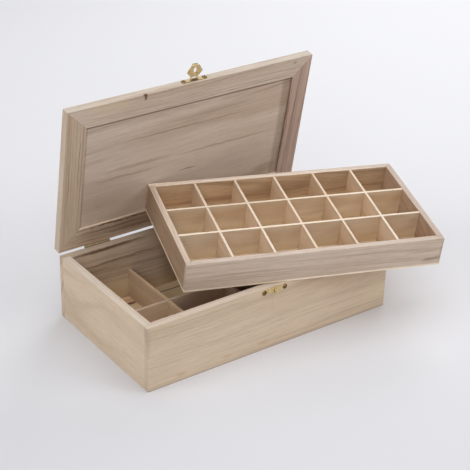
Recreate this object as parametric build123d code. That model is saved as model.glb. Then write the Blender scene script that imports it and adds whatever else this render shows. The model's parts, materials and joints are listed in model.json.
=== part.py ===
from build123d import *
import math
import os

# A wooden stamp box: a divided base, a panelled lid on two brass butt hinges, a brass hasp and catch,
# and a lift-out tray of small cells that lies askew across the open base.
# X runs along the box, Y from front to back, Z up. The origin is the middle of the base's underside.
# Sizes are in millimetres.

# Base
box_length = 300.0
box_depth = 170.0
base_height = 72.0
wall = 9.0
corner_lap = 3.0
base_floor = 3.0
floor_lap = 4.5
base_divider = 3.0
base_divider_height = 33.0
base_cross_divider_count = 3
base_long_divider_count = 1
slot_gap = 0.1

# Lid
lid_thickness = 9.4
lid_gap = 0.3
frame_width = 22.8
panel_recess = 2.3
panel_tongue = 5.0
panel_gap = 0.5
lid_angle = 80.0

# Tray
tray_length = 278.0
tray_depth = 145.0
tray_height = 33.2
tray_wall = 6.5
tray_lap = 2.2
tray_floor = 2.0
tray_divider = 2.5
tray_divider_drop = 0.4
tray_cross_divider_count = 5
tray_long_divider_count = 2

# How the tray lies: its underside crosses the front wall's outer top edge, and its back left corner
# stands on the ledge that the lid's back rail makes beside the panel
tray_turn = -17.0
tray_corner_x = -46.0
tray_rest_gap = 0.3
tray_panel_gap = 1.3

# Hinges, their leaves flat on the back faces and their knuckles in line with the joint
hinge_length = 30.0
hinge_end_distance = 46.0
hinge_knuckles = 3
leaf_reach = 8.0
leaf_thickness = 1.0
knuckle_radius = 1.5
knuckle_clearance = 0.3
knuckle_end_gap = 0.15
hinge_pin_radius = 0.7
pin_gap = 0.05
hinge_screw_spacing = 18.0
hinge_screw_reach = 5.0
hinge_head_radius = 2.0
hinge_head_height = 0.9
hinge_shank_radius = 0.8
hinge_shank_length = 7.0

# Screws
screw_gap = 0.05
screw_slot_width = 0.6
screw_slot_depth = 0.5
plate_head_radius = 2.8
plate_head_height = 1.3
plate_shank_radius = 1.0
plate_shank_length = 6.0

# Hasp plate on the lid's front edge, catch plate and lug on the base's front
plate_thickness = 0.8
plate_end_radius = 2.9
plate_bar_height = 4.6
plate_screw_spacing = 25.4
hasp_height = 5.2
catch_drop = 4.4
catch_boss_radius = 4.0
catch_boss_height = 0.7
lug_width = 2.4
lug_height = 4.2
lug_reach = 3.5

# Hasp: a six-sided leaf on two arms, with a slot for the lug and a rolled lip
pivot_radius = 0.9
pivot_clearance = 0.2
hasp_pin_radius = 0.45
hasp_thickness = 0.8
hasp_foot_width = 9.2
hasp_waist_width = 19.2
hasp_head_width = 9.6
hasp_foot = 1.9
hasp_waist = 8.0
hasp_head = 15.1
hasp_arm_width = 1.5
hasp_arm_gap = 0.3
hasp_slot_width = 3.4
hasp_slot_length = 5.4
lip_width = 6.0
lip_radius = 1.4

half_length = box_length / 2
half_depth = box_depth / 2
inner_length = box_length - 2 * wall
inner_depth = box_depth - 2 * wall
lid_bottom = base_height + lid_gap
lid_top = lid_bottom + lid_thickness
hinge_y = half_depth + knuckle_radius + knuckle_clearance
hinge_z = base_height + lid_gap / 2
leaf_start = knuckle_radius + knuckle_clearance
pivot_y = -half_depth - plate_thickness - pivot_radius - pivot_clearance
pivot_z = lid_bottom + hasp_height
catch_z = base_height - catch_drop
hinge_middles = {"left": hinge_end_distance - half_length, "right": half_length - hinge_end_distance}

# The lid turns about the hinges' axis from closed to open
open_lid = Pos(0, hinge_y, hinge_z) * Rot(X=-lid_angle) * Pos(0, -hinge_y, -hinge_z)
# Fittings are drawn flat, their backs on XY, and stood up against the front or the back face
on_front = Rot(X=90)
on_back = Rot(X=-90)


def block(x_ends, y_ends, z_ends):
    """A box between two ends on each axis."""
    size = [ends[1] - ends[0] for ends in (x_ends, y_ends, z_ends)]
    return Pos(x_ends[0], y_ends[0], z_ends[0]) * Box(*size, align=(Align.MIN, Align.MIN, Align.MIN))


def about(middle, width):
    """The two ends of a stretch of this width about its middle."""
    return (middle - width / 2, middle + width / 2)


def rod(radius, x_ends, y, z):
    """A round bar along X."""
    length = x_ends[1] - x_ends[0]
    return Pos(sum(x_ends) / 2, y, z) * Rot(Y=90) * Cylinder(radius, length)


def lapped_walls(length, depth, z_ends, thickness, lap):
    """Front and back walls over the full length, and end walls set into laps at their ends."""
    x = length / 2
    y = depth / 2
    end_y = y - thickness + lap
    left = block((-x, -x + thickness), (-end_y, end_y), z_ends)
    right = block((x - thickness, x), (-end_y, end_y), z_ends)
    front = block((-x, x), (-y, -y + thickness), z_ends) - left - right
    back = block((-x, x), (y - thickness, y), z_ends) - left - right
    return {"front": front, "back": back, "left": left, "right": right}


def spread(count, clear, thickness):
    """Middles of the dividers that part a clear width into equal spaces."""
    pitch = (clear + thickness) / (count + 1)
    return [(i + 1) * pitch - (clear + thickness) / 2 for i in range(count)]


def dividers(prefix, length, depth, z_ends, thickness, counts):
    """Dividers halved together where they cross: long ones slotted from below, cross ones from above."""
    xs = spread(counts[0], length, thickness)
    ys = spread(counts[1], depth, thickness)
    slot = thickness + 2 * slot_gap
    low_slot = (z_ends[0], sum(z_ends) / 2)
    high_slot = (sum(z_ends) / 2, z_ends[1])
    pieces = {}
    for i, y in enumerate(ys):
        board = block(about(0, length), about(y, thickness), z_ends)
        for x in xs:
            board -= block(about(x, slot), about(y, slot), low_slot)
        pieces[f"{prefix}_long_divider_{i + 1}"] = board
    for i, x in enumerate(xs):
        board = block(about(x, thickness), about(0, depth), z_ends)
        for y in ys:
            board -= block(about(x, slot), about(y, slot), high_slot)
        pieces[f"{prefix}_cross_divider_{i + 1}"] = board
    return pieces


def flat_screw(gap):
    """A countersunk screw, its head's top at the origin and its point down; a gap makes it the hole."""
    shank = Pos(0, 0, -hinge_head_height) * Cylinder(
        hinge_shank_radius + gap, hinge_shank_length + gap, align=(Align.CENTER, Align.CENTER, Align.MAX)
    )
    head = Cone(
        hinge_shank_radius + gap,
        hinge_head_radius + gap,
        hinge_head_height,
        align=(Align.CENTER, Align.CENTER, Align.MAX),
    )
    return head + shank


def dome_screw(gap):
    """A round-headed screw, its head on the XY plane and its point down; a gap makes it the hole."""
    shank = Cylinder(
        plate_shank_radius + gap,
        plate_thickness + plate_shank_length + gap,
        align=(Align.CENTER, Align.CENTER, Align.MAX),
    )
    ball = (plate_head_radius**2 + plate_head_height**2) / (2 * plate_head_height)
    cap = Cylinder(plate_head_radius, plate_head_height, align=(Align.CENTER, Align.CENTER, Align.MIN))
    return shank + (cap & Pos(0, 0, plate_head_height - ball) * Sphere(ball))


def slotted(screw, radius, top):
    """A screw with a driver's slot cut across its head."""
    return screw - block(about(0, screw_slot_width), about(0, 2 * radius), (top - screw_slot_depth, top))


def at_places(solid, places):
    """The same solid at several places."""
    return [place * solid for place in places]


def hinge_screw_places(side, way):
    """Where a leaf's two screws go; way is 1 on the lid and -1 on the base."""
    y = half_depth + leaf_thickness
    z = hinge_z + way * hinge_screw_reach
    return [Pos(hinge_middles[side] + x, y, z) * on_back for x in about(0, hinge_screw_spacing)]


def plate_screw_places(z, height):
    """Where the two screws of a front plate go; height is how far out their heads' backs stand."""
    return [Pos(x, -half_depth - height, z) * on_front for x in about(0, plate_screw_spacing)]


def hinge_leaf(side, spans, way):
    """A flat leaf with its knuckles, bored for pin and screws; way is 1 on the lid, -1 on the base."""
    middle = hinge_middles[side]
    y_ends = (half_depth, half_depth + leaf_thickness)
    start = hinge_z + way * leaf_start
    leaf = block(about(middle, hinge_length), y_ends, sorted((start, hinge_z + way * leaf_reach)))
    for span in spans:
        ends = (middle + span[0], middle + span[1])
        leaf += block(ends, y_ends, sorted((start, hinge_z)))
        leaf += rod(knuckle_radius, ends, hinge_y, hinge_z)
    leaf -= rod(hinge_pin_radius + pin_gap, about(middle, hinge_length), hinge_y, hinge_z)
    for hole in at_places(flat_screw(screw_gap), hinge_screw_places(side, way)):
        leaf -= hole
    return leaf


def hinges():
    """Base leaves with two knuckles each, lid leaves with the one between, pins and screws."""
    knuckle_length = hinge_length / hinge_knuckles
    inner = [about(0, knuckle_length - knuckle_end_gap)]
    outer_start = (knuckle_length + knuckle_end_gap) / 2
    outer = [(-hinge_length / 2, -outer_start), (outer_start, hinge_length / 2)]
    screw = slotted(flat_screw(0), hinge_head_radius, 0)
    base = {}
    lid = {}
    for side, middle in hinge_middles.items():
        base[f"hinge_base_leaf_{side}"] = hinge_leaf(side, outer, -1)
        base[f"hinge_pin_{side}"] = rod(hinge_pin_radius, about(middle, hinge_length), hinge_y, hinge_z)
        lid[f"hinge_lid_leaf_{side}"] = hinge_leaf(side, inner, 1)
    base["hinge_base_screws"] = Compound(hinge_screws(screw, -1))
    lid["hinge_lid_screws"] = Compound(hinge_screws(screw, 1))
    return base, lid


def hinge_screws(screw, way):
    """The same screw at every place in both leaves of the base, or of the lid."""
    return [s for side in hinge_middles for s in at_places(screw, hinge_screw_places(side, way))]


def base_woodwork():
    """Four walls lapped at the corners, the floor let in below, and the dividers."""
    walls = lapped_walls(box_length, box_depth, (0, base_height), wall, corner_lap)
    floor = block(
        about(0, inner_length + 2 * floor_lap), about(0, inner_depth + 2 * floor_lap), (0, base_floor)
    )
    walls = {name: board - floor for name, board in walls.items()}
    for hole in hinge_screws(flat_screw(screw_gap), -1):
        walls["back"] -= hole
    for hole in at_places(dome_screw(screw_gap), plate_screw_places(catch_z, plate_thickness)):
        walls["front"] -= hole
    pieces = {f"base_{name}_wall": board for name, board in walls.items()}
    pieces["base_floor"] = floor
    z_ends = (base_floor, base_floor + base_divider_height)
    counts = (base_cross_divider_count, base_long_divider_count)
    pieces.update(dividers("base", inner_length, inner_depth, z_ends, base_divider, counts))
    return pieces


def frame_member(corners, groove):
    """A lid frame board with mitred ends, grooved for the panel."""
    outline = make_face(Polyline(*corners, close=True))
    return Pos(0, 0, lid_bottom) * extrude(outline, lid_thickness) - groove


def lid_woodwork():
    """Four mitred boards round a thinner panel, recessed on both faces."""
    x = half_length
    y = half_depth
    w = frame_width
    open_length = box_length - 2 * w
    open_depth = box_depth - 2 * w
    panel_ends = (lid_bottom + panel_recess, lid_top - panel_recess)
    groove_length = open_length + 2 * panel_tongue
    groove_depth = open_depth + 2 * panel_tongue
    groove = block(about(0, groove_length), about(0, groove_depth), panel_ends)
    front = frame_member([(-x, -y), (x, -y), (x - w, -y + w), (-x + w, -y + w)], groove)
    back = frame_member([(x, y), (-x, y), (-x + w, y - w), (x - w, y - w)], groove)
    left = frame_member([(-x, y), (-x, -y), (-x + w, -y + w), (-x + w, y - w)], groove)
    right = frame_member([(x, -y), (x, y), (x - w, y - w), (x - w, -y + w)], groove)
    for hole in hinge_screws(flat_screw(screw_gap), 1):
        back -= hole
    for hole in at_places(dome_screw(screw_gap), plate_screw_places(pivot_z, plate_thickness)):
        front -= hole
    panel_length = groove_length - 2 * panel_gap
    panel_depth = groove_depth - 2 * panel_gap
    panel = block(about(0, panel_length), about(0, panel_depth), panel_ends)
    return {
        "lid_front_rail": front,
        "lid_back_rail": back,
        "lid_left_stile": left,
        "lid_right_stile": right,
        "lid_panel": panel,
    }


def front_plate(z):
    """A narrow brass plate with round ends, drilled for its two screws."""
    outline = Rectangle(plate_screw_spacing, plate_bar_height)
    for x in about(0, plate_screw_spacing):
        outline += Pos(x, 0) * Circle(plate_end_radius)
    for x in about(0, plate_screw_spacing):
        outline -= Pos(x, 0) * Circle(plate_shank_radius + screw_gap)
    return Pos(0, -half_depth, z) * on_front * extrude(outline, plate_thickness)


def catch():
    """The plate on the base's front, its round boss, and the lug that the hasp's slot goes over."""
    face = Pos(0, -half_depth - plate_thickness, catch_z) * on_front
    boss = face * extrude(Circle(catch_boss_radius), catch_boss_height)
    lug_foot = face * Pos(0, 0, catch_boss_height)
    lug = lug_foot * extrude(SlotOverall(lug_height, lug_width, rotation=90), lug_reach)
    screw = slotted(dome_screw(0), plate_head_radius, plate_head_height)
    return {
        "catch_plate": front_plate(catch_z) + boss,
        "catch_lug": lug,
        "catch_screws": Compound(at_places(screw, plate_screw_places(catch_z, plate_thickness))),
    }


def hasp_fittings():
    """The plate on the lid's front edge with the middle knuckle, its pin and its screws."""
    arms_inside = hasp_foot_width - 2 * hasp_arm_width
    knuckle_ends = about(0, arms_inside - 2 * hasp_arm_gap)
    web = block(knuckle_ends, (pivot_y, -half_depth), about(pivot_z, 2 * pivot_radius))
    plate = front_plate(pivot_z) + web + rod(pivot_radius, knuckle_ends, pivot_y, pivot_z)
    plate -= rod(hasp_pin_radius + pin_gap, knuckle_ends, pivot_y, pivot_z)
    screw = slotted(dome_screw(0), plate_head_radius, plate_head_height)
    return {
        "hasp_plate": plate,
        "hasp_pin": rod(hasp_pin_radius, about(0, hasp_foot_width), pivot_y, pivot_z),
        "hasp_screws": Compound(at_places(screw, plate_screw_places(pivot_z, plate_thickness))),
    }


def hasp():
    """The hasp, drawn standing straight out of the lid's front edge."""
    outline = make_face(
        Polyline(
            (-hasp_foot_width / 2, -hasp_foot),
            (-hasp_waist_width / 2, -hasp_waist),
            (-hasp_head_width / 2, -hasp_head),
            (hasp_head_width / 2, -hasp_head),
            (hasp_waist_width / 2, -hasp_waist),
            (hasp_foot_width / 2, -hasp_foot),
            close=True,
        )
    )
    lug_distance = pivot_z - catch_z
    outline -= Pos(0, -lug_distance) * SlotOverall(hasp_slot_length, hasp_slot_width, rotation=90)
    back_face = pivot_radius - hasp_thickness
    leaf = Pos(0, 0, back_face) * extrude(outline, hasp_thickness)
    for arm_middle in about(0, hasp_foot_width - hasp_arm_width):
        ends = about(arm_middle, hasp_arm_width)
        leaf += block(ends, (-hasp_foot, 0), (back_face, pivot_radius))
        leaf += rod(pivot_radius, ends, 0, 0)
    leaf -= rod(hasp_pin_radius + pin_gap, about(0, hasp_foot_width), 0, 0)
    lip_ends = about(0, lip_width)
    lip_z = back_face + lip_radius
    roll = rod(lip_radius, lip_ends, -hasp_head, lip_z)
    roll -= rod(lip_radius - hasp_thickness, lip_ends, -hasp_head, lip_z)
    near_half = block(lip_ends, (-hasp_head, 0), about(lip_z, 2 * lip_radius))
    return Pos(0, pivot_y, pivot_z) * (leaf + (roll - near_half))


def tray_woodwork():
    """A thin board under four lapped rails, with the dividers that make the cells."""
    walls = lapped_walls(tray_length, tray_depth, (tray_floor, tray_height), tray_wall, tray_lap)
    pieces = {f"tray_{name}_rail": board for name, board in walls.items()}
    pieces["tray_floor"] = block(about(0, tray_length), about(0, tray_depth), (0, tray_floor))
    length = tray_length - 2 * tray_wall
    depth = tray_depth - 2 * tray_wall
    z_ends = (tray_floor, tray_height - tray_divider_drop)
    counts = (tray_cross_divider_count, tray_long_divider_count)
    pieces.update(dividers("tray", length, depth, z_ends, tray_divider, counts))
    return pieces


def tray_place():
    """Where the tray lies, worked out from its back left corner on the lid's ledge."""
    ledge_y = half_depth - frame_width - tray_rest_gap
    ledge = open_lid * Pos(0, ledge_y, lid_bottom + panel_recess - tray_panel_gap)
    corner = ledge.position
    rise = corner.Z - base_height - tray_rest_gap
    lean = math.degrees(math.atan2(rise, corner.Y + half_depth))
    to_corner = Pos(tray_length / 2, -tray_depth / 2, 0)
    return Pos(tray_corner_x, corner.Y, corner.Z) * Rot(X=lean) * Rot(Z=tray_turn) * to_corner


def write(pieces, place):
    """One STEP file for each piece, at its place."""
    for name, solid in pieces.items():
        export_step(place * solid, f"parts/{name}.step")


os.makedirs("parts", exist_ok=True)
base_hinges, lid_hinges = hinges()
write({**base_woodwork(), **base_hinges, **catch()}, Pos(0, 0, 0))
write({**lid_woodwork(), **lid_hinges, **hasp_fittings(), "hasp": hasp()}, open_lid)
write(tray_woodwork(), tray_place())
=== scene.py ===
import json
import math

import bpy
from mathutils import Euler, Matrix, Vector

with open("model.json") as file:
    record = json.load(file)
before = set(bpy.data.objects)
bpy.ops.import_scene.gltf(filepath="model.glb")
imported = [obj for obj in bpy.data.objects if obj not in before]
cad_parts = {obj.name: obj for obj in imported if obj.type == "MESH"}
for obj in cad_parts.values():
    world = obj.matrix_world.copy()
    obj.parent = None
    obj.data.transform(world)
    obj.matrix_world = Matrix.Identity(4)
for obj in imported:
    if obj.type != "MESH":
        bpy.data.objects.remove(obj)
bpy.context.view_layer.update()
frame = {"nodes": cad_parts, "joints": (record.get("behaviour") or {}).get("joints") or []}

bl_info = {
    "name": "Stamp box finish",
    "version": (1, 0, 0),
    "blender": (4, 5, 0),
    "location": "3D View > Sidebar > Stamp box",
    "description": "Dresses a wooden stamp box, its lid, its lift-out tray and its brass fittings",
    "category": "Object",
}


# Settings


def screen(colour):
    """A colour as a screen gives it, from 0 to 255, as a shader takes it."""
    linear = [((c / 255 + 0.055) / 1.055) ** 2.4 if c > 10 else c / 255 / 12.92 for c in colour]
    return (*linear, 1.0)


def colour_setting(name, description, colour):
    return bpy.props.FloatVectorProperty(
        name=name,
        description=description,
        subtype="COLOR",
        size=4,
        min=0.0,
        max=1.0,
        default=screen(colour),
    )


class StampBoxWood(bpy.types.PropertyGroup):
    """Colours of the bare wood, some of which also paint light and shade, and how far its edges
    are rounded.
    """

    outer_pale: colour_setting("Pale wood", "Early wood of the outer boards", (218, 201, 179))
    outer_brown: colour_setting("Brown streak", "Late wood of the outer boards", (188, 168, 144))
    lid_pale: colour_setting("Lid pale wood", "Early wood of the lid", (212, 195, 178))
    lid_brown: colour_setting("Lid brown streak", "Late wood of the lid", (174, 153, 135))
    tray_pale: colour_setting("Tray pale wood", "Early wood of the tray's rails", (214, 197, 182))
    tray_brown: colour_setting(
        "Tray brown streak", "Late wood of the tray's rails", (172, 151, 135)
    )
    slat_pale: colour_setting(
        "Divider pale wood", "Early wood of the thin dividers and floors", (232, 211, 190)
    )
    slat_brown: colour_setting(
        "Divider brown streak", "Late wood of the thin dividers and floors", (204, 174, 144)
    )
    warm: colour_setting("Warm tint", "Pinkish tint that comes and goes", (196, 158, 130))
    # Also paints shade in recesses and under the tray.
    knot_and_shade: colour_setting("Knot", "Dark heart of a knot or crack", (104, 76, 56))
    # Also paints shade on the lid panel near the tray and the base.
    streak: colour_setting("Streak", "Brown line along the grain", (158, 132, 110))
    amber: colour_setting("Amber", "Resin-coloured wood", (196, 158, 112))
    # Also paints the light bounced onto the foot of the tray's dividers.
    cream_and_light: colour_setting("Cream", "Very pale wood", (226, 208, 172))
    # Also paints the contact shadow under the front wall and the shade where the lid panel meets
    # its frame.
    seam: colour_setting("Joint line", "Dark line where two boards meet", (106, 80, 56))
    rounding: bpy.props.FloatProperty(
        name="Edge rounding",
        description="How far the sanded edges are rounded",
        unit="LENGTH",
        default=0.0004,
        min=0.0,
    )


class StampBoxBrass(bpy.types.PropertyGroup):
    """Colours of the fittings."""

    bright: colour_setting("Bright brass", "Rubbed brass", (222, 202, 156))
    dull: colour_setting("Dull brass", "Stained brass", (160, 142, 102))
    hinge: colour_setting("Hinge brass", "Duller brass of the hinges", (144, 128, 98))
    worn: colour_setting("Worn brass", "Dull plate of the hasp", (176, 158, 126))
    screw: colour_setting("Screw", "Dark screw heads", (104, 84, 52))
    tarnish: colour_setting("Tarnish", "Dark stain in corners of the brass", (58, 46, 26))


class StampBoxStage(bpy.types.PropertyGroup):
    """Camera, light and floor."""

    azimuth: bpy.props.FloatProperty(
        name="Azimuth",
        description="How far round to the left the camera stands",
        unit="ROTATION",
        default=math.radians(-35.49),
    )
    elevation: bpy.props.FloatProperty(
        name="Elevation",
        description="How far the camera looks down",
        unit="ROTATION",
        default=math.radians(27.837),
    )
    roll: bpy.props.FloatProperty(
        name="Roll",
        description="How far the camera leans",
        unit="ROTATION",
        default=math.radians(1.236),
    )
    target: bpy.props.FloatVectorProperty(
        name="Target",
        description="The point that the camera looks at",
        unit="LENGTH",
        size=3,
        default=(0.041501, 0.069376, 0.06),
    )
    distance: bpy.props.FloatProperty(
        name="Distance",
        description="From the camera to its target",
        unit="LENGTH",
        default=1.498451,
    )
    lens: bpy.props.FloatProperty(name="Lens", description="Focal length in mm", default=104.27)
    shift: bpy.props.FloatVectorProperty(
        name="Shift", description="Camera shift", size=2, default=(0.0319, -0.0213)
    )
    # The floor is painted paler from front to back, as painted light.
    floor: colour_setting("Near floor", "Pale studio floor in front of the box", (217, 217, 221))
    far_floor: colour_setting("Far floor", "Pale studio floor behind the box", (246, 246, 250))
    sky: bpy.props.FloatProperty(
        name="Sky", description="Strength of the even light", default=0.1
    )
    backdrop: bpy.props.FloatProperty(
        name="Backdrop", description="How pale the sky is in view and in reflections", default=0.8
    )
    lamps: bpy.props.FloatProperty(
        name="Lamps",
        description="Power of every lamp, as a share of its usual power",
        default=0.93,
        min=0.0,
    )


# Materials


class Nodes:
    """A node tree, with short calls that add nodes and join them up."""

    def __init__(self, tree):
        self.nodes = tree.nodes
        self.links = tree.links

    def put(self, socket, value):
        """Joins a socket to another, or sets its number, vector or colour."""
        if isinstance(value, bpy.types.NodeSocket):
            self.links.new(value, socket)
        else:
            socket.default_value = value

    def add(self, kind, *values, **options):
        """A new node with these options, and these values in its first sockets."""
        node = self.nodes.new("ShaderNode" + kind)
        for option, choice in options.items():
            setattr(node, option, choice)
        for socket, value in zip(node.inputs, values):
            self.put(socket, value)
        return node

    def maths(self, operation, *values):
        return self.add("Math", *values, operation=operation).outputs[0]

    def vector(self, operation, *values):
        return self.add("VectorMath", *values, operation=operation).outputs["Vector"]

    def length(self, vector):
        return self.add("VectorMath", vector, operation="LENGTH").outputs["Value"]

    def split(self, vector):
        return self.add("SeparateXYZ", vector).outputs

    def join(self, x, y, z):
        return self.add("CombineXYZ", x, y, z).outputs[0]

    def between(self, value, low, high, start=0.0, end=1.0):
        """The value carried smoothly from low..high to start..end."""
        options = {"interpolation_type": "SMOOTHSTEP"}
        return self.add("MapRange", value, low, high, start, end, **options).outputs[0]

    def mix(self, factor, a, b, blend="MIX"):
        node = self.add("Mix", data_type="RGBA", blend_type=blend)
        self.put(node.inputs["Factor"], factor)
        first, second = (socket for socket in node.inputs if socket.type == "RGBA")
        self.put(first, a)
        self.put(second, b)
        return next(socket for socket in node.outputs if socket.type == "RGBA")

    def times(self, colour, shades):
        """A colour multiplied by another, or by three numbers."""
        return self.mix(1.0, colour, shades, "MULTIPLY")

    def noise(self, vector, stretch, detail=2.0, roughness=0.5, shift=(0.0, 0.0, 0.0)):
        """The outputs of noise whose lumps are 1 / stretch long on each axis."""
        node = self.add("TexNoise")
        moved = self.vector("ADD", vector, shift)
        self.put(node.inputs["Vector"], self.vector("MULTIPLY", moved, stretch))
        self.put(node.inputs["Scale"], 1.0)
        self.put(node.inputs["Detail"], detail)
        self.put(node.inputs["Roughness"], roughness)
        return node.outputs

    def mapped(self, source, matrix, scale=1.0, kind="POINT"):
        """An object's own coordinates, carried by a matrix whose place is in the scaled unit."""
        node = self.add("Mapping", vector_type=kind)
        self.put(node.inputs["Vector"], self.add("TexCoord").outputs[source])
        self.put(node.inputs["Rotation"], matrix.to_euler("XYZ"))
        self.put(node.inputs["Scale"], (scale, scale, scale))
        if kind == "POINT":
            self.put(node.inputs["Location"], matrix.to_translation())
        return node.outputs[0]


class Finish(Nodes):
    """A new material."""

    def __init__(self, name):
        self.material = bpy.data.materials.new(name)
        self.material.use_nodes = True
        super().__init__(self.material.node_tree)
        self.shader = self.nodes["Principled BSDF"]

    def set(self, socket, value):
        self.put(self.shader.inputs[socket], value)

    def bump(self, height, strength, distance):
        node = self.add("Bump")
        self.put(node.inputs["Strength"], strength)
        self.put(node.inputs["Distance"], distance)
        self.put(node.inputs["Height"], height)
        self.set("Normal", node.outputs[0])


# How the boards were cut

# Millimetres in a metre
MM = 1000.0
# How far the lid stands open at rest, in degrees
LID_OPEN = 80.0
# How the tray lies at rest, in degrees and metres
TRAY_TURN = -17.0
TRAY_LEAN = 8.291
TRAY_ORIGIN = (0.065729, -0.025214, 0.081013)


def turn(x=0.0, y=0.0, z=0.0):
    """A turn by degrees about each axis."""
    return Euler([math.radians(a) for a in (x, y, z)]).to_matrix().to_4x4()


def cut_frames():
    """Matrices from where the box stands to the way each group of boards was cut."""
    pin = next(joint["pos_m"] for joint in frame["joints"] if joint["name"] == "lid_hinge")
    hinge = Matrix.Translation(Vector(pin) * MM)
    tray = Matrix.Translation(Vector(TRAY_ORIGIN) * MM) @ turn(x=TRAY_LEAN) @ turn(z=TRAY_TURN)
    return {
        "base": Matrix(),
        "lid": hinge @ turn(x=LID_OPEN) @ hinge.inverted(),
        "tray": tray.inverted(),
    }


# The turn that lays a board's grain along X
GRAIN = {"x": turn(), "y": turn(z=-90.0)}
PLAIN = (1.0, 1.0, 1.0)


class Board:
    """How one board was cut and what it looks like, in mm in the frame that it was cut in.

    cut names that frame, grain the axis that the grain runs along and family the colours.
    A seed of its own makes each board's pattern unlike the others'.
    heart is where the tree's heart lies across the grain, and ring the width of a ring.
    tint colours the whole board. top and side then colour its upper face and its long faces.
    ends and drift are how pale its end grain is, and its left and right ends.
    slope turns the grain by degrees.
    Each mark has a kind, a middle, how far it reaches on each axis and a strength.
    """

    def __init__(
        self, cut, grain, family, seed, heart, ring, contrast=1.0,
        tint=PLAIN, top=PLAIN, side=PLAIN, ends=0.88, drift=(1.0, 1.0), slope=0.0, marks=(),
    ):
        self.cut = cut
        self.grain = grain
        self.family = family
        self.seed = seed
        self.heart = heart
        self.ring = ring
        self.contrast = contrast
        self.tint = tint
        self.top = top
        self.side = side
        self.ends = ends
        self.drift = drift
        self.slope = slope
        self.marks = marks


# Further than any board reaches
ALL = 600.0
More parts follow.
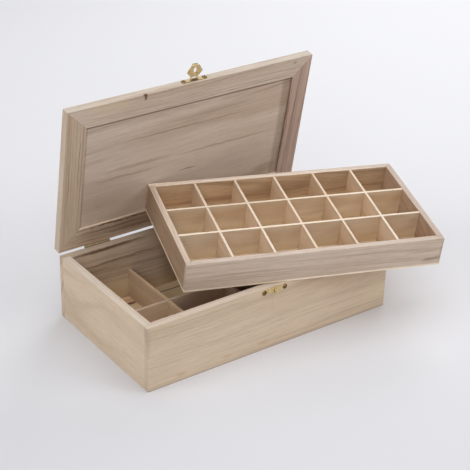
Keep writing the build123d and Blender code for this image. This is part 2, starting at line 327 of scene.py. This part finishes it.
# Colours of planed rims and of sawn edges, as shares of the board's own
RIM = (0.955, 1.0, 1.11)
SAWN = (1.15, 1.26, 1.42)
BOARDS = {
    "base_front_wall": Board(
        "base", "x", "outer", seed=1.0, heart=(30.0, -70.0), ring=8.0, contrast=0.7,
        tint=(1.035, 0.995, 0.96), top=RIM, ends=0.92,
        marks=(
            ("knot_and_shade", (-2.0, -85.0, 50.0), (0.5, 3.0, 20.0), 0.12),
            ("amber", (-112.0, -85.0, 7.0), (9.0, 3.0, 3.6), 0.4),
            ("amber", (-56.0, -85.0, 8.0), (8.0, 3.0, 3.0), 0.35),
            ("amber", (-12.0, -85.0, 9.0), (10.0, 3.0, 4.0), 0.35),
            ("knot_and_shade", (-150.0, -85.0, 58.0), (5.0, 5.0, 26.0), 0.14),
            ("cream_and_light", (138.0, -85.0, 24.0), (26.0, 3.0, 18.0), 0.35),
            # Painted contact shadow along the foot, where the wall stands on the floor.
            ("seam", (0.0, -85.0, 0.0), (ALL, 3.0, 1.4), 0.5),
        ),
    ),
    "base_back_wall": Board(
        "base", "x", "lid", seed=2.0, heart=(-90.0, -45.0), ring=8.0, contrast=1.1,
        tint=(0.93, 0.9, 0.84), top=(1.05, 1.1, 1.15), ends=1.15,
        marks=(
            ("knot_and_shade", (-100.0, 76.0, 69.6), (60.0, 3.0, 2.6), 0.85),
            ("knot_and_shade", (-80.0, 76.0, 53.0), (70.0, 4.0, 1.8), 0.6),
            ("amber", (-50.0, 76.0, 8.0), (70.0, 4.0, 16.0), 0.35),
            ("cream_and_light", (-92.0, 76.0, 14.0), (40.0, 4.0, 24.0), 0.7),
            ("cream_and_light", (-40.0, 76.0, 6.0), (32.0, 4.0, 10.0), 0.5),
            # Painted shade on the inner face beside the tray.
            ("knot_and_shade", (-12.0, 76.0, 34.0), (28.0, 4.0, 54.0), 0.45),
        ),
    ),
    "base_left_wall": Board(
        "base", "y", "outer", seed=3.0, heart=(-60.0, 30.0), ring=9.0, contrast=0.75,
        tint=(1.06, 1.025, 0.99), top=(0.945, 1.02, 1.15),
        marks=(
            ("seam", (-150.0, -81.4, 36.0), (3.0, 1.2, 200.0), 0.6),
            ("seam", (-150.0, 82.0, 36.0), (3.0, 1.4, 200.0), 0.4),
        ),
    ),
    "base_right_wall": Board(
        "base", "y", "outer", seed=4.0, heart=(60.0, -50.0), ring=8.0, contrast=0.7,
        tint=(1.02, 0.98, 0.94), top=RIM,
    ),
    "base_floor": Board(
        "base", "x", "slat", seed=5.0, heart=(10.0, -30.0), ring=6.0,
        tint=(1.2, 1.12, 1.0),
        marks=(
            ("amber", (-84.0, 69.0, 3.0), (24.0, 6.0, 4.0), 0.4),
            ("cream_and_light", (-60.0, 54.0, 3.0), (60.0, 8.0, 4.0), 0.9),
            ("cream_and_light", (-22.0, 62.0, 3.0), (48.0, 22.0, 4.0), 0.95),
            ("knot_and_shade", (-84.0, 62.5, 3.0), (26.0, 3.2, 4.0), 0.95),
            ("knot_and_shade", (-24.0, 64.5, 3.0), (46.0, 1.6, 4.0), 0.75),
        ),
    ),
    "lid_front_rail": Board(
        "lid", "x", "lid", seed=11.0, heart=(-110.0, 40.0), ring=9.0, contrast=1.1,
        tint=(1.0, 0.985, 0.985), side=(0.94, 1.02, 1.07),
        marks=(
            ("knot_and_shade", (-61.5, -84.8, 72.8), (3.4, 2.2, 2.6), 1.0),
            ("knot_and_shade", (-60.6, -82.2, 72.3), (2.2, 5.0, 2.4), 0.95),
            ("knot_and_shade", (127.0, -80.0, 72.3), (3.5, 1.6, 2.0), 0.6),
            ("cream_and_light", (-102.0, -79.0, 72.3), (36.0, 9.0, 3.0), 0.25),
        ),
    ),
    "lid_back_rail": Board(
        "lid", "x", "lid", seed=12.0, heart=(110.0, 30.0), ring=4.0, contrast=1.4,
        # The tint is darker wood, partly painted shade from the tray; the paler long faces are a
        # painted highlight on the inner face, which catches light from above.
        tint=(0.97, 0.91, 0.85), side=(1.25, 1.3, 1.35),
        marks=(
            # This broad dark mark and the last are darker wood, partly painted shade from the
            # tray.
            ("knot_and_shade", (-55.0, 72.0, 72.3), (50.0, 14.0, 4.0), 0.5),
            ("knot_and_shade", (-80.0, 64.2, 72.3), (70.0, 2.0, 1.0), 0.9),
            ("knot_and_shade", (-85.0, 70.0, 72.3), (60.0, 1.8, 3.0), 0.55),
            ("knot_and_shade", (-60.0, 76.0, 72.3), (50.0, 2.8, 3.0), 0.4),
            ("knot_and_shade", (-110.0, 80.0, 72.3), (30.0, 1.6, 3.0), 0.45),
            ("knot_and_shade", (-112.0, 72.0, 72.3), (34.0, 9.0, 4.0), 0.3),
        ),
    ),
    "lid_left_stile": Board(
        "lid", "y", "lid", seed=13.0, heart=(-220.0, 60.0), ring=3.2, contrast=0.75,
        tint=(0.92, 0.88, 0.81), side=(1.14, 1.2, 1.26),
        marks=(
            ("knot_and_shade", (-144.0, -10.0, 72.3), (0.8, 70.0, 3.0), 0.3),
            ("knot_and_shade", (-133.0, -20.0, 72.3), (0.8, 55.0, 3.0), 0.45),
        ),
    ),
    "lid_right_stile": Board(
        "lid", "y", "lid", seed=14.0, heart=(220.0, 60.0), ring=3.2, contrast=0.95,
        # The darker long faces are painted shade on the inner face beside the panel.
        tint=(0.84, 0.74, 0.73), side=(0.78, 0.76, 0.75),
        marks=(
            ("knot_and_shade", (137.0, 0.0, 72.3), (1.2, 70.0, 3.0), 0.35),
            # Painted shade on the inner face beside the panel.
            ("knot_and_shade", (128.0, 0.0, 73.4), (2.6, 75.0, 3.0), 0.5),
        ),
    ),
    "lid_panel": Board(
        "lid", "x", "lid", seed=15.0, heart=(20.0, -10.0), ring=11.0, contrast=0.8,
        tint=(1.02, 1.015, 1.015), drift=(0.95, 1.14), slope=1.2,
        marks=(
            # The next two are painted shade where the panel meets the frame.
            ("seam", (0.0, -59.6, 74.6), (ALL, 1.4, 3.0), 0.65),
            ("seam", (-124.9, 0.0, 74.6), (1.1, ALL, 3.0), 0.3),
            ("streak", (-5.0, -32.5, 74.6), (125.0, 1.2, 3.0), 0.55),
            ("streak", (-75.0, 10.0, 74.6), (50.0, 2.4, 3.0), 0.5),
            ("streak", (50.0, 1.5, 74.6), (80.0, 2.0, 3.0), 0.5),
            ("knot_and_shade", (4.0, 22.5, 74.6), (15.0, 0.9, 3.0), 0.6),
            # The next two are painted shade towards the hinge: on the right above the tray's back
            # rail, and broad on the left near the base.
            ("streak", (110.0, 50.0, 74.6), (22.0, 8.0, 3.0), 0.5),
            ("streak", (-92.0, 48.0, 74.6), (62.0, 30.0, 3.0), 0.4),
            ("streak", (-58.0, 0.0, 74.6), (60.0, 3.4, 3.0), 0.45),
            # Painted shade towards the hinge, above the tray's back rail.
            ("streak", (96.0, 58.0, 74.6), (42.0, 9.0, 3.0), 0.45),
            # Painted shade on the panel beside the right stile.
            ("knot_and_shade", (122.0, 0.0, 74.6), (7.0, ALL, 3.0), 0.35),
        ),
    ),
    "tray_front_rail": Board(
        "tray", "x", "tray", seed=21.0, heart=(-30.0, -50.0), ring=6.0, contrast=0.9,
        tint=(0.96, 0.933, 0.89), top=(0.96, 0.99, 1.035),
        marks=(
            ("knot_and_shade", (126.0, -72.5, 8.6), (13.0, 3.0, 3.0), 0.5),
            ("knot_and_shade", (135.0, -72.5, 10.0), (6.0, 3.0, 4.0), 0.3),
            ("streak", (118.0, -72.5, 19.0), (22.0, 3.0, 2.0), 0.35),
            ("knot_and_shade", (140.0, -72.5, 16.0), (5.0, 6.0, 20.0), 0.25),
        ),
    ),
    "tray_back_rail": Board(
        "tray", "x", "tray", seed=22.0, heart=(110.0, 20.0), ring=5.0, contrast=1.2,
        # Its much paler top is painted light on the rim, which lies in the lid's shade.
        tint=(0.83, 0.71, 0.54), top=(1.43, 1.72, 2.28), drift=(1.32, 0.92),
        marks=(
            ("knot_and_shade", (-5.0, 66.0, 14.0), (55.0, 6.0, 16.0), 0.24),
            ("knot_and_shade", (80.0, 66.0, 15.0), (40.0, 6.0, 18.0), 0.1),
            ("cream_and_light", (0.0, 66.0, 1.0), (ALL, 6.0, 6.5), 0.6),
        ),
    ),
    "tray_left_rail": Board(
        "tray", "y", "tray", seed=23.0, heart=(-160.0, 60.0), ring=4.0, contrast=1.2,
        # Its dark tint is partly painted shade on the rail down in the base, and its pale top is
        # partly painted light on its rim.
        tint=(0.59, 0.49, 0.385), top=(1.72, 2.02, 2.48),
    ),
    "tray_right_rail": Board(
        "tray", "y", "tray", seed=24.0, heart=(160.0, 60.0), ring=5.0, contrast=0.9,
        tint=(0.7, 0.59, 0.5), top=(1.22, 1.4, 1.68),
    ),
    "tray_floor": Board(
        "tray", "x", "slat", seed=25.0, heart=(0.0, -30.0), ring=7.0, contrast=0.9,
        tint=(1.2, 1.25, 1.25), side=(0.97, 0.985, 0.994), ends=0.92,
        marks=(
            ("amber", (20.0, -60.0, 2.0), (150.0, 12.0, 4.0), 0.45),
        ),
    ),
}
for place in range(1, 4):
    BOARDS[f"base_cross_divider_{place}"] = Board(
        "base", "y", "lid", seed=5.0 + place, heart=(60.0, 20.0), ring=6.0, contrast=0.7,
        tint=(0.96, 0.89, 0.77), top=(1.06, 1.0, 0.97),
        marks=(
            # Darker in a band 29 mm up.
            ("knot_and_shade", (0.0, 0.0, 29.0), (ALL, ALL, 6.5), 0.12),
            # Painted shade under the tray, over the front of the divider.
            ("knot_and_shade", (0.0, -24.0, 26.0), (12.0, 54.0, 26.0), 0.55),
        ),
    )
BOARDS["base_long_divider_1"] = Board(
    "base", "x", "lid", seed=9.0, heart=(60.0, 20.0), ring=6.0, contrast=0.8,
    # The drift from pale on the left to dark on the right, and the two broad dark marks, paint the
    # deep shade under the tray.
    tint=(0.99, 1.02, 0.99), top=(0.85, 0.82, 0.81), drift=(1.45, 0.62),
    marks=(
        ("knot_and_shade", (-36.0, 0.0, 18.0), (46.0, 6.0, 24.0), 0.4),
        ("knot_and_shade", (40.0, 0.0, 18.0), (70.0, 6.0, 24.0), 0.4),
    ),
)
for place in range(1, 6):
    BOARDS[f"tray_cross_divider_{place}"] = Board(
        "tray", "y", "slat", seed=25.0 + place, heart=(60.0, 20.0), ring=6.0, contrast=0.6,
        tint=(0.87, 0.83, 0.76), top=SAWN,
        marks=(
            # Painted light: paler towards the foot, where light bounces off the cell floors.
            ("cream_and_light", (0.0, 0.0, 1.0), (ALL, ALL, 14.0), 0.2),
        ),
    )
for place in range(1, 3):
    BOARDS[f"tray_long_divider_{place}"] = Board(
        "tray", "x", "slat", seed=31.0 + place, heart=(60.0, 20.0), ring=6.0, contrast=0.6,
        tint=(0.9, 0.91, 0.87), top=(1.25, 1.36, 1.5),
        marks=(
            # Painted light: paler towards the foot, where light bounces off the cell floors.
            ("cream_and_light", (0.0, 0.0, 1.0), (ALL, ALL, 14.0), 0.55),
            ("amber", (0.0, 22.4, 24.0), (ALL, 6.0, 10.0), 0.35),
            ("amber", (125.0, 22.4, 20.0), (60.0, 6.0, 20.0), 0.35),
            ("amber", (75.0, -22.4, 20.0), (50.0, 6.0, 20.0), 0.2),
        ),
    )


# Wood

# Lumps of each noise in a mm, along the grain and across it
WAVER = (0.004, 0.012, 0.012)
CLOUD = (0.006, 0.03, 0.03)
FIBRE = (0.035, 0.7, 0.7)
FLECK = (0.08, 1.1, 1.1)
EDGE = (0.06, 0.06, 0.06)
# How far each board's noises are moved for a step of its seed, in mm and in rings
SEED_SHIFT = (517.0, 131.0, 71.0)
SEED_RING, SEED_LINE = 3.7, 1.9
# How far noise bends the grain and the outlines of marks, in mm
SWAY = (0.0, 14.0, 14.0)
WANDER = (4.0, 4.0, 4.0)
# How fast rings and lines change along the grain, and the width of a line in rings
RING_RUN, LINE_RUN, LINE_WIDTH = 0.002, 0.006, 0.2
# Where in its noise each pattern begins and is full, and how strong it then is
RING_BAND, RING_SHARE = (0.44, 0.70), 0.55
LINE_BAND, LINE_SHARE = (0.50, 0.72), 0.50
CLOUD_BAND, CLOUD_SHARE = (0.35, 0.7), 0.22
WARM_BAND, WARM_SHARE = (0.5, 0.75), 0.2
FLECK_BAND, FLECK_SHARE = (0.60, 0.72), 0.12
FIBRE_BAND, FIBRE_PALER, FIBRE_DARKER = (0.3, 0.7), 0.06, 0.09
# How squarely a face has to look along an axis to take that face's colour
FACE_BAND, END_BAND = (0.8, 0.95), (0.6, 0.95)
# The left and right ends between which a board's colour drifts, in mm
DRIFT_BAND = (-150.0, 150.0)
# Inside a mark, where its edge begins and where it is full, as a share of its reach
MARK_BAND = (1.0, 0.3)
# Marks with a straight, even outline
CRISP = ("seam", "tarnish")
MIDDLE = (0.5, 0.5, 0.5)
WOOD_ROUGHNESS = (0.62, 0.8)
WOOD_SHINE = 0.2
# Relief of the fibres and flecks: the share of each, its strength and its height in metres
FIBRE_RELIEF, FLECK_RELIEF, WOOD_RELIEF = 0.6, 0.5, (0.35, 0.0002)


def wood(name, board):
    """Bare sanded board, worked out as solid wood: rings, lines, fibres, flecks and marks; some
    marks and face tints paint light and shade.
    """
    settings = bpy.context.scene.stampbox_wood
    f = Finish(name)
    cut = cut_frames()[board.cut]
    lay = GRAIN[board.grain] @ cut
    spot = f.mapped("Object", turn(z=board.slope) @ lay, MM)
    facing = f.split(f.mapped("Normal", lay, 1.0, "NORMAL"))
    shift = [board.seed * step for step in SEED_SHIFT]
    cloud = f.noise(spot, CLOUD, 1.0, 0.5, shift)["Fac"]
    fibre = f.noise(spot, FIBRE, 3.0, 0.65, shift)["Fac"]
    fleck = f.between(f.noise(spot, FLECK, 1.0, 0.5, shift)["Fac"], *FLECK_BAND)

    pale, brown = (getattr(settings, f"{board.family}_{shade}") for shade in ("pale", "brown"))
    colour = f.mix(grain(f, board, spot, shift, cloud), pale, brown)
    colour = f.mix(f.between(cloud, *WARM_BAND, 0.0, WARM_SHARE), colour, settings.warm)
    colour = toned(f, board, facing, colour)
    shade = shaded(f, board, spot, facing, fibre, fleck)
    colour = f.times(colour, f.join(shade, shade, shade))
    if board.marks:
        colour = marked(f, colour, cut, board.marks, settings)
    f.set("Base Color", colour)
    f.set("Roughness", f.between(fibre, *FIBRE_BAND, *WOOD_ROUGHNESS))
    f.set("Specular IOR Level", WOOD_SHINE)
    ridges = f.maths("MULTIPLY", fibre, FIBRE_RELIEF)
    pits = f.maths("MULTIPLY", fleck, FLECK_RELIEF)
    f.bump(f.maths("SUBTRACT", ridges, pits), *WOOD_RELIEF)
    return f.material


def grain(f, board, spot, shift, cloud):
    """The share of brown wood: rings about the heart line, thin lines in them, and clouds."""
    waver = f.noise(spot, WAVER, 1.0, 0.5, shift)["Color"]
    sway = f.vector("MULTIPLY", f.vector("SUBTRACT", waver, MIDDLE), SWAY)
    x, y, z = f.split(f.vector("ADD", spot, sway))
    across = f.maths("SUBTRACT", y, board.heart[0])
    up = f.maths("SUBTRACT", z, board.heart[1])
    squares = f.maths("ADD", f.maths("MULTIPLY", across, across), f.maths("MULTIPLY", up, up))
    reach = f.maths("SQRT", squares)

    ring = f.maths("DIVIDE", reach, board.ring)
    ring = f.join(ring, f.maths("MULTIPLY", x, RING_RUN), board.seed * SEED_RING)
    line = f.maths("DIVIDE", reach, board.ring * LINE_WIDTH)
    line = f.join(line, f.maths("MULTIPLY", x, LINE_RUN), board.seed * SEED_LINE)
    ring_noise = f.noise(ring, PLAIN)["Fac"]
    line_noise = f.noise(line, PLAIN, 1.0)["Fac"]
    late = f.between(ring_noise, *RING_BAND, 0.0, RING_SHARE * board.contrast)
    thin = f.between(line_noise, *LINE_BAND, 0.0, LINE_SHARE * board.contrast)
    broad = f.between(cloud, *CLOUD_BAND, 0.0, CLOUD_SHARE)
    return f.maths("MINIMUM", f.maths("ADD", f.maths("ADD", late, thin), broad), 1.0)


def toned(f, board, facing, colour):
    """The board's own tint, and those of its upper face and its long faces; on some boards these
    paint light and shade.
    """
    colour = f.times(colour, (*board.tint, 1.0))
    upper = f.between(facing[2], *FACE_BAND)
    colour = f.mix(upper, colour, f.times(colour, (*board.top, 1.0)))
    sides = f.between(f.maths("ABSOLUTE", facing[1]), *FACE_BAND)
    return f.mix(sides, colour, f.times(colour, (*board.side, 1.0)))


def shaded(f, board, spot, facing, fibre, fleck):
    """How pale the wood is here, from its drift (painted shade on the base's long divider), its
    end grain, its fibres and its flecks.
    """
    drift = f.between(f.split(spot)[0], *DRIFT_BAND, *board.drift)
    ends = f.between(f.maths("ABSOLUTE", facing[0]), *END_BAND, 1.0, board.ends)
    paler, darker = 1.0 + FIBRE_PALER * board.contrast, 1.0 - FIBRE_DARKER * board.contrast
    fibres = f.between(fibre, *FIBRE_BAND, paler, darker)
    flecks = f.between(fleck, 0.0, 1.0, 1.0, 1.0 - FLECK_SHARE * board.contrast)
    plain = f.maths("MULTIPLY", drift, ends)
    return f.maths("MULTIPLY", f.maths("MULTIPLY", plain, fibres), flecks)


def marked(f, colour, cut, marks, settings):
    """Lays knots, streaks, joint lines, stains and painted light and shade over a colour, each in
    its own ellipsoid.
    """
    even = f.mapped("Object", cut, MM)
    rough = f.noise(even, EDGE, 3.0, 0.6)["Color"]
    wavy = f.vector("ADD", even, f.vector("MULTIPLY", f.vector("SUBTRACT", rough, MIDDLE), WANDER))
    for kind, place, size, strength in marks:
        spot = even if kind in CRISP else wavy
        away = f.length(f.vector("DIVIDE", f.vector("SUBTRACT", spot, place), size))
        share = f.between(away, *MARK_BAND, 0.0, strength)
        colour = f.mix(share, colour, getattr(settings, kind))
    return colour


# Brass

# Dark stains, as marks in mm where the box stands
STAINS = (
    ("tarnish", (0.0, -86.5, 67.6), (2.6, 1.0, 3.4), 0.8),
    ("tarnish", (0.0, 61.0, 260.4), (6.0, 3.0, 1.3), 0.8),
    ("tarnish", (0.0, 61.0, 243.0), (6.0, 3.0, 1.6), 0.7),
)
# Lumps of the speckle and the scratches in a mm
SPECKLE = (0.5, 0.5, 0.5)
SCRATCH = (0.4, 5.0, 5.0)
SPECKLE_BAND = (0.46, 0.72)
SCRATCH_BAND = (0.3, 0.7)
# How much rougher the brass is where it is scratched
SCRATCHED = 0.18
BRASS_RELIEF = (0.2, 0.0001)


def brass(name, colour, dull, roughness=0.46, stains=()):
    """Pressed brass: rubbed faces, duller speckle and faint scratches."""
    f = Finish(name)
    spot = f.mapped("Object", Matrix(), MM)
    speckle = f.noise(spot, SPECKLE, 3.0, 0.6)["Fac"]
    scratch = f.noise(spot, SCRATCH, 2.0, 0.6)["Fac"]
    colour = f.mix(f.between(speckle, *SPECKLE_BAND), colour, dull)
    if stains:
        colour = marked(f, colour, Matrix(), stains, bpy.context.scene.stampbox_brass)
    f.set("Base Color", colour)
    f.set("Metallic", 1.0)
    f.set("Roughness", f.between(scratch, *SCRATCH_BAND, roughness, roughness + SCRATCHED))
    f.bump(scratch, *BRASS_RELIEF)
    return f.material


# Dressing

# Corners closer than this are joined, in metres
JOIN = 0.000005
# Faces flatter to each other than the first are made one, and edges sharper than the second
# are rounded
FLAT, SHARP = math.radians(1.0), math.radians(40.0)


def dress(name, material, rounding=0.0):
    """Gives a CAD node its material and rounds its edges."""
    piece = frame["nodes"][name]
    piece.data.materials.clear()
    piece.data.materials.append(material)
    if rounding > 0.0:
        weld = piece.modifiers.new("join", "WELD")
        weld.merge_threshold = JOIN
        flat = piece.modifiers.new("faces", "DECIMATE")
        flat.decimate_type = "DISSOLVE"
        flat.angle_limit = FLAT
        bevel = piece.modifiers.new("rounding", "BEVEL")
        bevel.width = rounding
        bevel.segments = 2
        bevel.limit_method = "ANGLE"
        bevel.angle_limit = SHARP
        bevel.use_clamp_overlap = True


def dress_boards(starts, rounding=0.0):
    """Dresses every board whose node's name starts so."""
    for name, board in BOARDS.items():
        if name.startswith(starts):
            dress(name, wood(name.replace("_", " ") + " wood", board), rounding)


class StampBoxStep(bpy.types.Operator):
    """One step of dressing the box."""

    bl_options = {"REGISTER", "UNDO"}

    @classmethod
    def poll(cls, context):
        return context.scene is not None


class STAMPBOX_OT_base_walls(StampBoxStep):
    """Dress the four outer walls"""

    bl_idname = "stampbox.base_walls"
    bl_label = "Base walls"

    def execute(self, context):
        walls = ("base_front", "base_back", "base_left", "base_right")
        dress_boards(walls, context.scene.stampbox_wood.rounding)
        return {"FINISHED"}


class STAMPBOX_OT_base_inside(StampBoxStep):
    """Dress the base's floor and dividers"""

    bl_idname = "stampbox.base_inside"
    bl_label = "Base floor and dividers"

    def execute(self, context):
        dress_boards(("base_floor", "base_long", "base_cross"))
        return {"FINISHED"}


class STAMPBOX_OT_lid(StampBoxStep):
    """Dress the lid's frame and panel"""

    bl_idname = "stampbox.lid"
    bl_label = "Lid"

    def execute(self, context):
        dress_boards("lid", context.scene.stampbox_wood.rounding)
        return {"FINISHED"}


class STAMPBOX_OT_tray(StampBoxStep):
    """Dress the lift-out tray"""

    bl_idname = "stampbox.tray"
    bl_label = "Tray"

    def execute(self, context):
        rails = ("tray_front", "tray_back", "tray_left", "tray_right")
        dress_boards(rails, context.scene.stampbox_wood.rounding)
        dress_boards(("tray_floor", "tray_long", "tray_cross"))
        return {"FINISHED"}


class STAMPBOX_OT_fittings(StampBoxStep):
    """Dress the hinges, the hasp and the catch"""

    bl_idname = "stampbox.fittings"
    bl_label = "Hinges, hasp and catch"

    def execute(self, context):
        s = context.scene.stampbox_brass
        bright = brass("pressed brass", s.bright, s.dull, stains=STAINS)
        worn = brass("worn brass", s.worn, s.dull, 0.58, STAINS)
        leaf = brass("hinge brass", s.hinge, s.dull, 0.4)
        head = brass("screw brass", s.screw, s.dull, 0.38)
        for name in frame["nodes"]:
            if "screws" in name:
                dress(name, head)
            elif name.startswith("hinge"):
                dress(name, leaf)
            elif name in ("hasp_plate", "hasp_pin"):
                dress(name, worn)
            elif name.startswith(("hasp", "catch")):
                dress(name, bright)
        return {"FINISHED"}


# Stage, in metres

DAYLIGHT = (0.97, 0.98, 1.0, 1.0)
BLACK = (0.0, 0.0, 0.0, 1.0)
FLOOR_SIZE = 12.0
# How far back the floor goes from its near to its far colour; this paler far floor is painted
# light
DEPTH_BAND = (-0.5, 1.1)
# How far out the floor fades into the backdrop
FADE_BAND = (1.05, 1.9)
MOTTLE = (3.0, 3.0, 3.0)
MOTTLE_BAND = (0.3, 0.7)
FLOOR_ROUGHNESS = (0.8, 0.9)
FLOOR_SHINE = 0.1
# The camera's film in mm, and how near it sees
FILM = 36.0
NEAREST = 0.01
# The point that the lamps look at
AIM = (0.0, 0.0, 0.05)
# Where the large soft lamps stand, how wide each is and its usual power in watts
LAMPS = {
    "top lamp": ((0.1, -0.1, 1.7), 1.6, 16.6),
    "front left lamp": ((-1.3, -1.5, 1.3), 1.2, 15.2),
    "front right lamp": ((1.3, -1.5, 1.3), 1.2, 15.2),
    "back right lamp": ((1.5, 1.1, 1.3), 1.2, 17.0),
    "left lamp": ((-1.8, 0.3, 1.2), 1.2, 13.0),
}


def lay_floor(s):
    """A large pale floor, painted paler towards the back as painted light, that fades into the
    backdrop in view.
    """
    bpy.ops.object.select_all(action="DESELECT")
    bpy.ops.mesh.primitive_plane_add(size=FLOOR_SIZE, location=(0.0, 0.0, 0.0))
    floor = bpy.context.object
    floor.name = "studio_floor"
    f = Finish("studio floor")
    spot = f.mapped("Object", turn(z=-math.degrees(s.azimuth)))
    # Painted light: the floor grows paler towards the back.
    depth = f.between(f.split(spot)[1], *DEPTH_BAND)
    seen = f.add("LightPath").outputs["Is Camera Ray"]
    faded = f.maths("MULTIPLY", f.between(f.length(spot), *FADE_BAND), seen)
    f.set("Base Color", f.mix(faded, f.mix(depth, s.floor, s.far_floor), BLACK))
    f.set("Emission Color", DAYLIGHT)
    f.set("Emission Strength", f.maths("MULTIPLY", faded, s.backdrop))
    mottle = f.noise(spot, MOTTLE)["Fac"]
    f.set("Roughness", f.between(mottle, *MOTTLE_BAND, *FLOOR_ROUGHNESS))
    f.set("Specular IOR Level", FLOOR_SHINE)
    floor.data.materials.append(f.material)


def light_sky(s):
    """An even light from all round, paler where it is seen or mirrored."""
    world = bpy.data.worlds.new("studio")
    world.use_nodes = True
    sky = Nodes(world.node_tree)
    ray = sky.add("LightPath").outputs
    seen = sky.maths("MAXIMUM", ray["Is Camera Ray"], ray["Is Glossy Ray"])
    background = sky.nodes["Background"]
    sky.put(background.inputs["Color"], DAYLIGHT)
    level = sky.add("MapRange", seen, 0.0, 1.0, s.sky, s.backdrop)
    sky.put(background.inputs["Strength"], level.outputs["Result"])
    bpy.context.scene.world = world


def hang_lamp(name, place, size, power):
    """A large square lamp that looks at the box."""
    data = bpy.data.lights.new(name, "AREA")
    data.size = size
    data.energy = power
    lamp = bpy.data.objects.new(name, data)
    bpy.context.collection.objects.link(lamp)
    lamp.location = place
    lamp.rotation_euler = (Vector(AIM) - Vector(place)).to_track_quat("-Z", "Y").to_euler()


def stand_camera(s):
    """The camera, which looks at its target from the azimuth and elevation."""
    data = bpy.data.cameras.new("camera")
    camera = bpy.data.objects.new("camera", data)
    bpy.context.collection.objects.link(camera)
    data.lens = s.lens
    data.sensor_width = FILM
    data.shift_x, data.shift_y = s.shift
    data.clip_start = NEAREST
    ahead = math.cos(s.elevation)
    forward = Vector(
        (-math.sin(s.azimuth) * ahead, math.cos(s.azimuth) * ahead, -math.sin(s.elevation))
    )
    camera.location = Vector(s.target) - forward * s.distance
    aim = forward.to_track_quat("-Z", "Y").to_matrix().to_4x4()
    camera.rotation_euler = (aim @ Matrix.Rotation(s.roll, 4, "Z")).to_euler()
    bpy.context.scene.camera = camera


class STAMPBOX_OT_stage(StampBoxStep):
    """Set the floor, the light and the camera"""

    bl_idname = "stampbox.stage"
    bl_label = "Floor, light and camera"

    def execute(self, context):
        s = context.scene.stampbox_stage
        lay_floor(s)
        light_sky(s)
        for name, (place, size, watts) in LAMPS.items():
            hang_lamp(name, place, size, watts * s.lamps)
        stand_camera(s)
        context.scene.view_settings.view_transform = "Standard"
        return {"FINISHED"}


class STAMPBOX_PT_panel(bpy.types.Panel):
    """Lists the steps and the settings"""

    bl_label = "Stamp box"
    bl_space_type = "VIEW_3D"
    bl_region_type = "UI"
    bl_category = "Stamp box"

    def draw(self, context):
        for step in STEPS:
            self.layout.operator(step.bl_idname)
        scene = context.scene
        for group in (scene.stampbox_wood, scene.stampbox_brass, scene.stampbox_stage):
            box = self.layout.box()
            for name in group.__annotations__:
                box.prop(group, name)


STEPS = (
    STAMPBOX_OT_base_walls,
    STAMPBOX_OT_base_inside,
    STAMPBOX_OT_lid,
    STAMPBOX_OT_tray,
    STAMPBOX_OT_fittings,
    STAMPBOX_OT_stage,
)
CLASSES = (StampBoxWood, StampBoxBrass, StampBoxStage, *STEPS, STAMPBOX_PT_panel)


def register():
    for cls in CLASSES:
        bpy.utils.register_class(cls)
    bpy.types.Scene.stampbox_wood = bpy.props.PointerProperty(type=StampBoxWood)
    bpy.types.Scene.stampbox_brass = bpy.props.PointerProperty(type=StampBoxBrass)
    bpy.types.Scene.stampbox_stage = bpy.props.PointerProperty(type=StampBoxStage)


def unregister():
    del bpy.types.Scene.stampbox_stage
    del bpy.types.Scene.stampbox_brass
    del bpy.types.Scene.stampbox_wood
    for cls in reversed(CLASSES):
        bpy.utils.unregister_class(cls)


def main():
    """Registers the add-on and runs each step."""
    register()
    bpy.ops.stampbox.base_walls()
    bpy.ops.stampbox.base_inside()
    bpy.ops.stampbox.lid()
    bpy.ops.stampbox.tray()
    bpy.ops.stampbox.fittings()
    bpy.ops.stampbox.stage()


if __name__ == "__main__":
    main()
